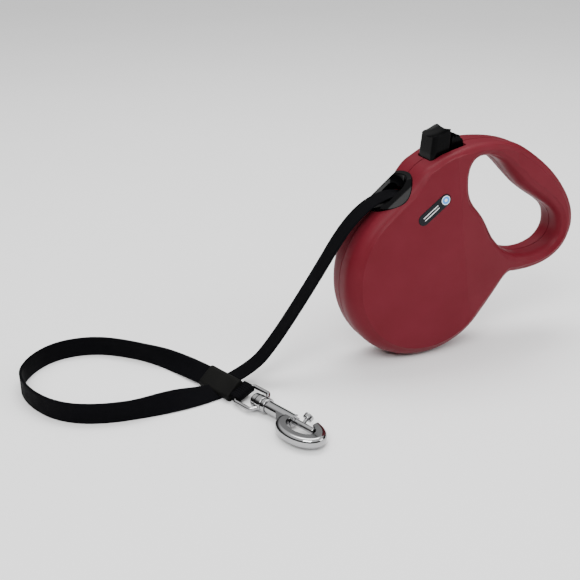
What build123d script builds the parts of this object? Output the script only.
# Retractable tape leash: two-shell casing with a round drum room and a hollow loop
# grip, spring driven tape drum, thumb brake with lock, tape lead, hand loop and a
# swivel snap hook.
# Millimetres. Z is up, the drum axis runs along Y, the grip is towards +X.
# Shapes are drawn about the drum axis and shifted at the end so that the origin is
# the middle of the grip.
from build123d import *
import math, os

os.makedirs("parts", exist_ok=True)

# ------------------------------------------------------------------ driving sizes
GRIP = (76.5, 0.0, 51.5)          # origin of the written parts, from the drum axis
FLOOR = -55.2                     # surface the loop and the hook lie on
BODY_T, GRIP_T = 16.0, 12.0       # half thickness of the round body and of the grip
TAPER = 45.0                      # length over which one runs into the other
TAPER_AT, TAPER_DIR = (14.0, 63.0), (0.986, 0.168)
PHI = math.radians(75)            # how far the edge rounding turns before the side face
LEVELS = [0, 2.2, 4.3, 5.6, 7, 8.4, 9.8, 11, 12, 13, 14, 15, 16]
GROOVE_W, GROOVE_D = 0.5, 0.3     # parting line
ROOM_R, ROOM_Y = 46.0, 13.6       # drum room, 2.2 inside the nearest point of the finger opening
NECK_Y, CHAN_Y = 11.8, 8.2        # depth of neck room and grip channel
TAPE_W, TAPE_T = 12.7, 1.0        # half inch webbing
COIL_R = 42.7
HUB_R = 24.0
ARBOR_R, ARBOR_FIT = 4.0, 0.06
TEETH, ROOT_R, TIP_R = 24, 42.3, 45.0
FLANGE_R = 44.6
BUTTON_TRAVEL = 4.5
LOCK_TRAVEL = 2.2
BOLT_TRAVEL = 9.0
STRAP_W, STRAP_T = 12.5, 1.6
BAR_R = 1.3                       # wire of the swivel eye
STEM_R, STEM_FIT = 2.3, 0.06
BOLT_R, BOLT_FIT = 1.85, 0.10

# outside line (x, z, inset of the rounded edge)
OUTER = [(60.3, -9.8, 4.8), (58.8, -10.9, 4.9), (57.0, -12.9, 5.1), (54.3, -16.6, 5.5), (51.1, -21.3, 6.2),
         (47.8, -26.1, 7.0), (44.6, -30.6, 7.8), (41.2, -35.1, 8.4), (37.5, -39.4, 8.8), (33.2, -43.6, 9),
         (27.5, -47.6, 9), (18.8, -51.7, 9), (9.6, -54.2, 9), (0, -55, 9), (-9.6, -54.2, 9), (-18.8, -51.7, 9),
         (-27.5, -47.6, 9), (-35.4, -42.1, 9), (-42.1, -35.4, 9), (-47.6, -27.5, 9), (-51.7, -18.8, 9),
         (-54.2, -9.6, 8.8), (-55, 0, 8.6), (-54.2, 9.6, 8.1), (-51.7, 18.8, 7.5), (-47.6, 27.5, 7.0),
         (-42.7, 34.6, 6.7), (-37.4, 40.3, 6.5), (-31.5, 45.6, 6.5), (-25.0, 51.0, 6.3), (-18.6, 55.5, 5.8),
         (-14.8, 58.9, 5.2), (-11.9, 62.2, 4.7), (-9.2, 65.1, 4.3), (-5.8, 67.8, 4.0), (-1.3, 70.2, 3.8),
         (4.5, 73.2, 3.8), (11.0, 75.2, 3.8), (18.0, 77.0, 3.8), (25.0, 78.1, 3.8), (32.1, 78.6, 3.8),
         (39.0, 78.4, 3.9), (45.5, 77.8, 4.0), (51.5, 76.8, 4.2), (57.3, 75.3, 4.4), (62.6, 73.2, 4.6),
         (67.5, 70.4, 4.8), (72.3, 67.3, 4.8), (77.0, 64.0, 4.8), (81.5, 60.6, 4.8), (85.8, 57.0, 4.8),
         (89.9, 53.2, 4.8), (93.7, 49.3, 4.8), (97.2, 45.2, 4.8), (100.4, 41.0, 4.8), (103.2, 36.8, 4.8),
         (105.6, 32.3, 4.8), (107.4, 27.6, 4.8), (108.5, 22.6, 4.8), (108.8, 17.6, 4.8), (108.0, 12.6, 4.8),
         (106.3, 7.5, 4.8), (103.8, 3.0, 4.8), (100.5, -0.7, 4.8), (96.6, -3.7, 4.8), (92.2, -6.1, 4.8),
         (87.5, -7.9, 4.8), (82.5, -9.1, 4.8), (77.4, -9.8, 4.8), (72.6, -10.1, 4.8), (68.3, -10.0, 4.8),
         (64.8, -9.7, 4.8), (62.2, -9.4, 4.8)]
# finger opening (x, z, outset of the rounded edge)
HOLE = [(36.8, 70.2, 4.5), (43.5, 68.0, 4.8), (49.4, 63.9, 5.2), (53.1, 60.3, 5.8), (56.0, 57.0, 6.4),
        (58.9, 53.9, 7.0), (61.9, 50.8, 7.4), (65.0, 47.8, 7.5), (68.4, 45.0, 7.5), (72.0, 42.3, 7.5),
        (75.8, 39.7, 7.5), (79.8, 37.1, 7.3), (84.0, 34.5, 6.8), (88.4, 31.5, 6.0), (92.8, 27.9, 5.2),
        (96.1, 23.3, 4.8), (97.6, 18.3, 4.6), (97.6, 13.6, 4.6), (96.4, 10.2, 4.6), (94.5, 7.5, 4.6),
        (92.0, 5.3, 4.6), (88.7, 3.6, 4.6), (84.7, 2.3, 4.6), (79.9, 1.5, 4.6), (74.2, 1.3, 4.6),
        (67.3, 2.3, 4.6), (60.5, 4.8, 4.6), (54.4, 8.7, 4.6), (49.7, 13.1, 4.6), (46.1, 17.2, 4.6),
        (43.5, 21.1, 4.6), (41.2, 25.0, 4.6), (39.0, 28.6, 4.6), (36.6, 32.1, 4.6), (34.0, 35.3, 4.6),
        (31.0, 38.6, 4.6), (28.2, 42.0, 4.6), (25.9, 45.9, 4.6), (24.4, 50.3, 4.6), (23.7, 55.0, 4.6),
        (23.6, 59.5, 4.6), (24.2, 63.3, 4.6), (25.5, 66.5, 4.6), (27.8, 68.9, 4.5), (31.8, 70.3, 4.5)]
# room inside the neck, around the thumb brake (x, z)
NECK = [(-12, 47.5), (-8, 52.5), (-6.4, 58.5), (-6.6, 63.5), (-4.4, 66.3), (6, 70.6), (13, 72.6), (20, 74.2),
        (24.4, 74.6), (24.2, 71.9), (22.2, 68.2), (20.9, 64), (20.6, 59), (20.9, 54), (22.4, 49), (25.5, 43.5),
        (24, 40), (0, 40), (-6, 45)]
# casing screws (x, z, height of the seat under the head)
SCREWS = [(-2.5, 56.5, 9.5), (77.0, 51.5, 7.0), (56.5, -1.5, 7.0), (103.3, 16.0, 7.0)]

MIN3 = (Align.CENTER, Align.CENTER, Align.MIN)
nodes = {}


def cyl_y(x, z, r, y0, y1):
    return Location((x, y0, z), (-90, 0, 0)) * Cylinder(r, y1 - y0, align=MIN3)


def cyl_x(r, x0, x1, y=0, z=0):
    return Location((x0, y, z), (0, 90, 0)) * Cylinder(r, x1 - x0, align=MIN3)


def box(x0, x1, y0, y1, z0, z1):
    return Pos((x0 + x1) / 2, (y0 + y1) / 2, (z0 + z1) / 2) * Box(x1 - x0, y1 - y0, z1 - z0)


def lines(pts):
    return [Edge.make_line(pts[i], pts[(i + 1) % len(pts)]) for i in range(len(pts))]


def prism_y(pts, y0, y1):
    face = Face(Wire(lines([Vector(p[0], y0, p[1]) for p in pts])))
    return extrude(face, amount=y1 - y0, dir=(0, 1, 0))


def single(shape):
    s = sorted(shape.solids(), key=lambda k: -k.volume)
    if len(s) > 1:
        print("   loose bits dropped:", [round(k.volume, 3) for k in s[1:]])
    return s[0]


# ------------------------------------------------------------------ casing shells
def half_t(x, z):
    k = ((x - TAPER_AT[0]) * TAPER_DIR[0] + (z - TAPER_AT[1]) * TAPER_DIR[1]) / TAPER
    return BODY_T - (BODY_T - GRIP_T) * min(1.0, max(0.0, k))


def edge_inset(y, t, i):
    r = i / (1 - math.cos(PHI))
    y0 = t - r * math.sin(PHI)
    if y <= y0:
        return 0.0
    if y >= t:
        return i + min(1.0, (y - t) * 0.6)
    return r * (1 - math.cos(math.asin((y - y0) / r)))


def normals(st):
    n = len(st)
    a = sum(st[k][0] * st[(k + 1) % n][1] - st[(k + 1) % n][0] * st[k][1] for k in range(n))
    o = 1 if a > 0 else -1
    out = []
    for k in range(n):
        tx = st[(k + 1) % n][0] - st[k - 1][0]
        tz = st[(k + 1) % n][1] - st[k - 1][1]
        m = math.hypot(tx, tz)
        out.append((o * tz / m, -o * tx / m))
    return out


def moved(st, d):
    """Stations moved outwards by d."""
    return [(x + nx * d, z + nz * d) for (x, z, i), (nx, nz) in zip(st, normals(st))]


def ring(st, y, sign):
    pts = []
    for (x, z, i), (nx, nz) in zip(st, normals(st)):
        d = sign * edge_inset(y, half_t(x - sign * nx * i, z - sign * nz * i), i)
        pts.append(Vector(x - nx * d, -y, z - nz * d))
    return Wire([Edge.make_spline(pts, periodic=True)])


def flat_y(pts, y0, y1):
    """Prism over a closed smooth line."""
    face = Face(Wire([Edge.make_spline([Vector(p[0], y0, p[1]) for p in pts], periodic=True)]))
    return extrude(face, amount=y1 - y0, dir=(0, 1, 0))


def taper_pt(u, y, w):
    return Vector(TAPER_AT[0] + TAPER_DIR[0] * u + TAPER_DIR[1] * w, y, TAPER_AT[1] + TAPER_DIR[1] * u - TAPER_DIR[0] * w)


shell = Solid.make_loft([ring(OUTER, y, 1) for y in LEVELS])
plug = Solid.make_loft([ring(HOLE, y, -1) for y in LEVELS])
wedge = extrude(Face(Wire(lines([taper_pt(u, y, -70) for u, y in
                                 [(0, -BODY_T), (TAPER, -GRIP_T), (170, -GRIP_T), (170, -20), (0, -20)]]))),
                amount=260, dir=(TAPER_DIR[1], 0, -TAPER_DIR[0]))
flat = box(-90, 140, -20, -BODY_T, -90, 110)
half = single(shell - wedge - flat - plug)
# parting groove, both round the outside and round the finger opening
groove = (flat_y(moved(OUTER, 2.0), -GROOVE_D, 0.5) - flat_y(moved(OUTER, -GROOVE_W), -1, 1)) \
    + flat_y(moved(HOLE, GROOVE_W), -GROOVE_D, 0.5)
half = single(half - groove)

# hollow of the grip between its walls
o_in = moved(OUTER, -2.8)[45:68]
h_out = moved(HOLE, 2.6)[3:23][::-1]
po = [Vector(p[0], 0, p[1]) for p in o_in]
ph = [Vector(p[0], 0, p[1]) for p in h_out]
channel_face = Face(Wire([Edge.make_spline(po), Edge.make_line(po[-1], ph[0]), Edge.make_spline(ph),
                          Edge.make_line(ph[-1], po[0])]))

# frame of the tape nozzle: local x up the shoulder, local z out of it
NZ = Plane(origin=(-23.3, 0, 51.9), x_dir=(0.774, 0, 0.633), z_dir=(-0.633, 0, 0.774)).location
nozzle_seat = NZ * (Pos(0.8, 0, -5) * extrude(Ellipse(15.65, 14.55), amount=17))
tape_throat = NZ * box(-9, 11.5, -7.3, 7.3, -12, -4.9)

BADGE = Plane(origin=(-1.4, -BODY_T, 43.35), x_dir=(math.cos(math.radians(36.7)), 0, math.sin(math.radians(36.7))),
              z_dir=(0, -1, 0)).location


def shell_half(side):
    """side -1 is the near shell, +1 the far one."""
    s = half if side < 0 else single(mirror(half, Plane.XZ))
    y0, y1 = (-1, 0) if side < 0 else (0, 1)
    lo = lambda d: (-d, 0.5) if side < 0 else (-0.5, d)
    a, b = lo(ROOM_Y)
    s = s - cyl_y(0, 0, ROOM_R, a, b)
    a, b = lo(NECK_Y)
    s = s - prism_y(NECK, a, b)
    a, b = lo(CHAN_Y)
    ch = extrude(channel_face, amount=b - a, dir=(0, 1, 0))
    s = s - Pos(0, a, 0) * ch
    for x, z, h in SCREWS:
        if side < 0:
            boss = cyl_y(x, z, 3.0, -12.0, 0)
        else:
            boss = cyl_y(x, z, 3.0, 0, h) + cyl_y(x, z, 4.0, h - 1.5, 12.0)
        s = s + (boss & (half if side < 0 else mirror(half, Plane.XZ)))
    if side < 0:
        s = s + cyl_y(0, 0, 7.5, -13.7, -8.6) - cyl_y(0, 0, ARBOR_R, -13.0, -8.0)
        s = s + box(0.5, 7.5, -13.0, 2.0, 51.6, 54.0)
    else:
        s = s + cyl_y(0, 0, 7.5, 9.6, 13.7) - cyl_y(0, 0, ARBOR_R, 9.0, 13.0)
        s = s - cyl_y(0, 0, 1.7, 12.5, 14.5) - cyl_y(0, 0, 3.4, 14.0, 20)
    for x, z, h in SCREWS:
        if side < 0:
            s = s - cyl_y(x, z, 1.4, -9.0 if h > 8 else -7.0, 0.5)
        else:
            s = s - cyl_y(x, z, 1.7, -0.5, h + 0.1) - cyl_y(x, z, 3.0, h, 20)
    s = s - nozzle_seat - tape_throat
    s = s - fillet(box(-1.0, 23.2, -8.5, 8.5, 66, 90).edges().filter_by(Axis.Z), 2.4)
    if side < 0:
        s = s - BADGE * (Pos(0, 0, -0.5) * extrude(SlotCenterToCenter(17.2, 7.5), amount=4))
    return single(s)


nodes["casing_left"] = shell_half(-1)
nodes["casing_right"] = shell_half(1)

# ------------------------------------------------------------------ badge
pill = BADGE * (Pos(0, 0, -0.5) * extrude(SlotCenterToCenter(17.2, 7.4), amount=0.85))
nodes["badge"] = fillet([e for e in pill.edges() if abs(e.center().Y + BODY_T + 0.35) < 1e-3], 0.3)
disc = cyl_y(5.5, 48.5, 2.8, -BODY_T - 0.6, -BODY_T - 0.35)
nodes["badge_emblem"] = disc

# ------------------------------------------------------------------ tape nozzle
# oval block, crowned across and along the shoulder, with a long bowl round the slot for the tape
noz = Pos(0.8, 0, -5) * extrude(Ellipse(15.6, 14.5), amount=9.2)
noz = noz & (Location((-25, 0, -15.0), (0, 90, 0)) * Cylinder(19.2, 50, align=MIN3))
noz = noz & (Location((0.8, -25, -36.4), (-90, 0, 0)) * Cylinder(40.6, 50, align=MIN3))
br, bh = 11.5, 4.5
bk = br * math.sqrt(0.5)
bowl = Pos(0, 0, 9.5) * revolve(Face(Wire([
    Edge.make_line(Vector(-bh - br, 0, 0), Vector(bh + br, 0, 0)),
    Edge.make_three_point_arc(Vector(bh + br, 0, 0), Vector(bh + bk, bk, 0), Vector(bh, br, 0)),
    Edge.make_line(Vector(bh, br, 0), Vector(-bh, br, 0)),
    Edge.make_three_point_arc(Vector(-bh, br, 0), Vector(-bh - bk, bk, 0), Vector(-bh - br, 0, 0))])), Axis.X, 360)
noz = single(noz - bowl)
noz = single(fillet([e for e in noz.edges() if e.distance_to(bowl) < 1e-3], 0.8))
noz = noz - (Pos(2.1, 0, -6) * extrude(RectangleRounded(10.4, 14.2, 3), amount=14))
nodes["nozzle"] = NZ * single(noz)

# ------------------------------------------------------------------ arbor and its screw
arbor = cyl_y(0, 0, ARBOR_R, -13, 13) - cyl_y(0, 0, 1.5, 5, 13.5) - box(-0.35, 0.35, -5.2, 7, 2.2, 4.5)
nodes["arbor"] = single(arbor)
ascrew = cyl_y(0, 0, 1.5, 6, 14) + cyl_y(0, 0, 3.0, 14, 15.8) - box(-2.4, 2.4, 15.0, 16, -0.4, 0.4) \
    - box(-0.4, 0.4, 15.0, 16, -2.4, 2.4)
nodes["arbor_screw"] = single(ascrew)
cs = []
for x, z, h in SCREWS:
    s = cyl_y(x, z, 1.4, -6.5 if h < 8 else -8.5, h) + cyl_y(x, z, 2.8, h, h + 2.2)
    s = s - box(x - 2, x + 2, h + 1.2, h + 3, z - 0.35, z + 0.35) - box(x - 0.35, x + 0.35, h + 1.2, h + 3, z - 2, z + 2)
    cs.append(single(s))

# ------------------------------------------------------------------ drum, spring, tape
drum = cyl_y(0, 0, FLANGE_R, -8.2, -6.5) + cyl_y(0, 0, HUB_R, -6.6, 6.6)
tp = []
for k in range(TEETH):
    a = 7.9 + 15 * k
    for da, r in ((0, ROOT_R), (1, TIP_R), (4, TIP_R), (9, ROOT_R)):
        t = math.radians(a + da)
        tp.append((r * math.cos(t), r * math.sin(t)))
drum = drum + prism_y(tp, 6.5, 9.0)
drum = drum - cyl_y(0, 0, 21.8, -5.4, 10) - cyl_y(0, 0, ARBOR_R + ARBOR_FIT, -10, 0)
for k in range(6):
    t = math.radians(60 * k + 30)
    drum = drum - cyl_y(34 * math.cos(t), 34 * math.sin(t), 5.0, -9, -6)
nodes["spool_drum"] = single(drum)
nodes["spring_cover"] = single(cyl_y(0, 0, 21.8, 7.2, 9.0) - cyl_y(0, 0, ARBOR_R + ARBOR_FIT, 7, 10))
nodes["tape_coil"] = single(cyl_y(0, 0, COIL_R, -TAPE_W / 2, TAPE_W / 2) - cyl_y(0, 0, HUB_R, -7, 7))

turns, per = 9, 16
sp = [(5.4 + (20.6 - 5.4) * i / (turns * per), math.pi / 2 + 2 * math.pi * i / per) for i in range(turns * per + 1)]
side_a = [Vector((r + 0.2) * math.cos(t), -4.6, (r + 0.2) * math.sin(t)) for r, t in sp]
side_b = [Vector((r - 0.2) * math.cos(t), -4.6, (r - 0.2) * math.sin(t)) for r, t in sp][::-1]
strip_face = Face(Wire([Edge.make_spline(side_a), Edge.make_line(side_a[-1], side_b[0]), Edge.make_spline(side_b),
                        Edge.make_line(side_b[-1], side_a[0])]))
coil = extrude(strip_face, amount=11.2, dir=(0, 1, 0)) + box(-0.2, 0.2, -4.6, 6.6, 2.4, 5.5)
coil = coil + box(-0.2, 0.2, -4.6, 6.6, 20.5, 21.7)
nodes["power_spring"] = single(coil)

# ------------------------------------------------------------------ thumb brake
prof = [(-0.4, 65.4), (12.0, 65.4), (12.0, 76.0), (11.6, 88.1), (0.6, 83.9), (-0.4, 74.0)]
cap = prism_y(prof, -8.0, 8.0)
cap = fillet([e for e in cap.edges() if abs(abs(e.center().Y) - 8) < 1e-3 and e.center().X < 1.0], 2.6)
cap = fillet([e for e in cap.edges() if abs(abs(e.center().Y) - 8) < 1e-3 and e.center().X > 11.0], 1.2)
n = Vector(-0.357, 0, 0.934)
mid = Vector(6.1, 0, 86.0)
c = mid + n * 24.5
cap = cap - Pos(c.X, c.Y, c.Z) * Sphere(26.0)
button = cap + box(-2.4, 13.2, -10.2, 10.2, 65.4, 66.6) + box(13.0, 16.2, -3.0, 3.0, 65.4, 67.2) \
    + box(6.75, 9.25, 6.9, 8.8, 46.7, 65.6)
nodes["brake_button"] = single(button)
hx = Helix(pitch=2.2, height=10.8, radius=2.8)
bs = sweep(Plane(origin=hx @ 0, z_dir=hx % 0) * Circle(0.25), path=hx, is_frenet=True)
nodes["button_spring"] = single(Pos(4.0, -3.0, 54.3) * bs)

# ------------------------------------------------------------------ lock
lk = prism_y([(14.4, 71), (14.4, 81.6), (15.4, 83.2), (16.4, 81.6), (17.4, 83.4), (18.4, 81.8), (19.4, 83.2),
              (20.4, 81.5), (21.6, 80.9), (22.5, 78.6), (22.7, 72)], -4.9, 4.9)
lk = lk + prism_y([(14.7, 72.6), (22.4, 74.1), (22.4, 72.6), (14.7, 71.2)], -9.6, 9.6)
lk = lk + box(19.0, 20.6, -2.6, 2.6, 63.6, 73.0) + box(16.9, 20.6, -2.6, 2.6, 63.6, 64.8)
nodes["lock_slider"] = single(lk)


# ------------------------------------------------------------------ tape lead and hand loop
def route_radii(p):
    out = []
    for i in range(1, len(p) - 1):
        a = Vector(*p[i]) - Vector(*p[i - 1])
        b = Vector(*p[i + 1]) - Vector(*p[i])
        out.append(0.45 * min(a.length, b.length) / math.tan(math.radians(a.get_angle(b)) / 2))
    return out


def flat_strip(route, width, thick, width_dir, label):
    rs = route_radii(route)
    path = FilletPolyline(*route, radius=rs)
    sec = Plane(origin=path @ 0, x_dir=width_dir, z_dir=path % 0) * Rectangle(width, thick)
    s = single(sweep(sec, path=path))
    full = path.length * width * thick
    print(label, "length", round(path.length, 1), "radii", [round(r, 1) for r in rs],
          "volume", round(s.volume, 1), "of", round(full, 1))
    return s


TAPE = [(12.4, 0, 41.73), (-5.6, 0, 48.0), (-24.0, 0, 53.3), (-48.0, 0, 41.5), (-73.0, 0, 3.3), (-97.5, 0, -30.6),
        (-112.0, 0, -45.2), (-131.0, 0, -51.0)]
nodes["tape_lead"] = flat_strip(TAPE, TAPE_W, TAPE_T, (0, 1, 0), "tape lead")
LOOP = [(-136.7, 9.6), (-144.6, 28.4), (-167.9, 59.0), (-190.6, 76.5), (-217.8, 76.5), (-239.2, 54.9),
        (-239.2, 28.5), (-225.2, 1.65), (-199.1, -10.9), (-165.5, -12.1), (-133.5, -3.6)]
nodes["hand_loop"] = flat_strip([(x, y, FLOOR + STRAP_W / 2) for x, y in LOOP], STRAP_W, STRAP_T, (0, 0, 1),
                                "hand loop")

# ------------------------------------------------------------------ hook end
# local x along the hook, local y towards the casing, local z up
HOOK = Plane(origin=(-123.67, -16.83, -50.4), x_dir=(0.3457, -0.9383, 0), z_dir=(0, 0, 1)).location
EYE = HOOK * Location((0, 0, 0), (15, 0, 0))

sleeve = Box(25.8, 14.0, 5.6)
sleeve = fillet(sleeve.edges().filter_by(Axis.X), 2.2)
sleeve = fillet([e for e in sleeve.edges() if abs(abs(e.center().X) - 12.9) < 1e-3], 0.7)
nodes["end_sleeve"] = HOOK * Location((-17.1, -2.8, 0.7), (36, 0, 0)) * sleeve

fold = box(-5.0, 0, -6.1, 6.1, -2.6, 2.6) + cyl_y(0, 0, 2.6, -6.1, 6.1) - cyl_y(0, 0, BAR_R + 0.06, -8, 8)
nodes["eye_fold"] = EYE * single(fold)

eye_pts = [(16.2, -3.5, 0), (13.0, -7.7, 0), (0, -7.7, 0), (0, 7.7, 0), (13.0, 7.7, 0), (16.2, 3.5, 0)]
eye_path = FilletPolyline(*eye_pts, radius=2.0)
eye = sweep(Plane(origin=eye_path @ 0, z_dir=eye_path % 0) * Circle(BAR_R), path=eye_path)
yoke = fillet(cyl_x(4.7, 13.3, 17.8).edges(), 0.6)
eye = eye + yoke - cyl_x(STEM_R + STEM_FIT, 12, 19)
nodes["swivel_eye"] = EYE * single(eye)

KNOB_X = 47.5
KN = Rot(30, 0, 0)                # local y of this turn is the way the knob points
head = cyl_x(4.3, 9.3, 12.9)
head = fillet(head.edges().sort_by(Axis.X)[0], 1.4)
ring_o = Pos(51.0, -4.5, -3.1) * extrude(Ellipse(16.4, 11.1), amount=6.2)
ring_o = fillet([e for e in ring_o.edges() if abs(abs(e.center().Z) - 3.1) < 1e-3], 2.5)
ring_i = Pos(50.8, -4.3, -5) * extrude(Ellipse(10.0, 5.8), amount=10)
blend = extrude(Face(Wire(lines([Vector(x, y, -2.6) for x, y in
                                 [(30, 3.2), (30, -3.2), (37, -9.5), (44, -11), (44, 3.4)]]))), amount=5.2, dir=(0, 0, 1))
body = ring_o + (blend - Pos(51.0, -4.3, -5) * extrude(Ellipse(12.5, 8.0), amount=10)) - ring_i
body = body - box(42.2, 54.6, -1.0, 10, -6, 6) - box(30, 42.3, 2.6, 10, -6, 6)
body = body + fillet(cyl_x(4.7, 18.1, 21.0).edges(), 0.6) + cyl_x(3.6, 20.5, 42.0) + cyl_x(STEM_R, 12.5, 18.6) + head
body = body - cyl_x(BOLT_R + BOLT_FIT, 22.0, 57.6)
body = body - Pos(39.9, 0, 0) * (KN * box(-3.1, 3.1, 0, 8, -1.45, 1.45))
nodes["hook_body"] = HOOK * single(body)

bolt = fillet(cyl_x(BOLT_R, 33.0, 56.6).edges().sort_by(Axis.X)[-1], 0.6)
bolt = bolt - Pos(KNOB_X, 0, 0) * (KN * cyl_y(0, 0, 1.1, 0.6, 4))
nodes["hook_bolt"] = HOOK * single(bolt)
kn = cyl_y(0, 0, 1.1, 0.6, 4.4) + fillet(cyl_y(0, 0, 2.9, 4.1, 7.2).edges(), 0.7)
nodes["bolt_knob"] = HOOK * single(Pos(KNOB_X, 0, 0) * (KN * kn))
hb = Helix(pitch=1.4, height=10.2, radius=1.35)
sb = sweep(Plane(origin=hb @ 0, z_dir=hb % 0) * Circle(0.2), path=hb, is_frenet=True)
nodes["bolt_spring"] = HOOK * (Location((22.5, 0, 0), (0, 90, 0)) * single(sb))

# ------------------------------------------------------------------ write
shift = Pos(-GRIP[0], -GRIP[1], -GRIP[2])
nodes["casing_screws"] = Compound(cs)
for name, shape in nodes.items():
    s = shift * shape
    bb = s.bounding_box()
    print(f"{name:14s} {len(s.solids())} vol {s.volume:9.1f} ok {all(k.is_valid for k in s.solids())} "
          f"x {bb.min.X:7.1f} {bb.max.X:7.1f} y {bb.min.Y:6.1f} {bb.max.Y:6.1f} z {bb.min.Z:6.1f} {bb.max.Z:6.1f}")
    export_step(s, f"parts/{name}.step")
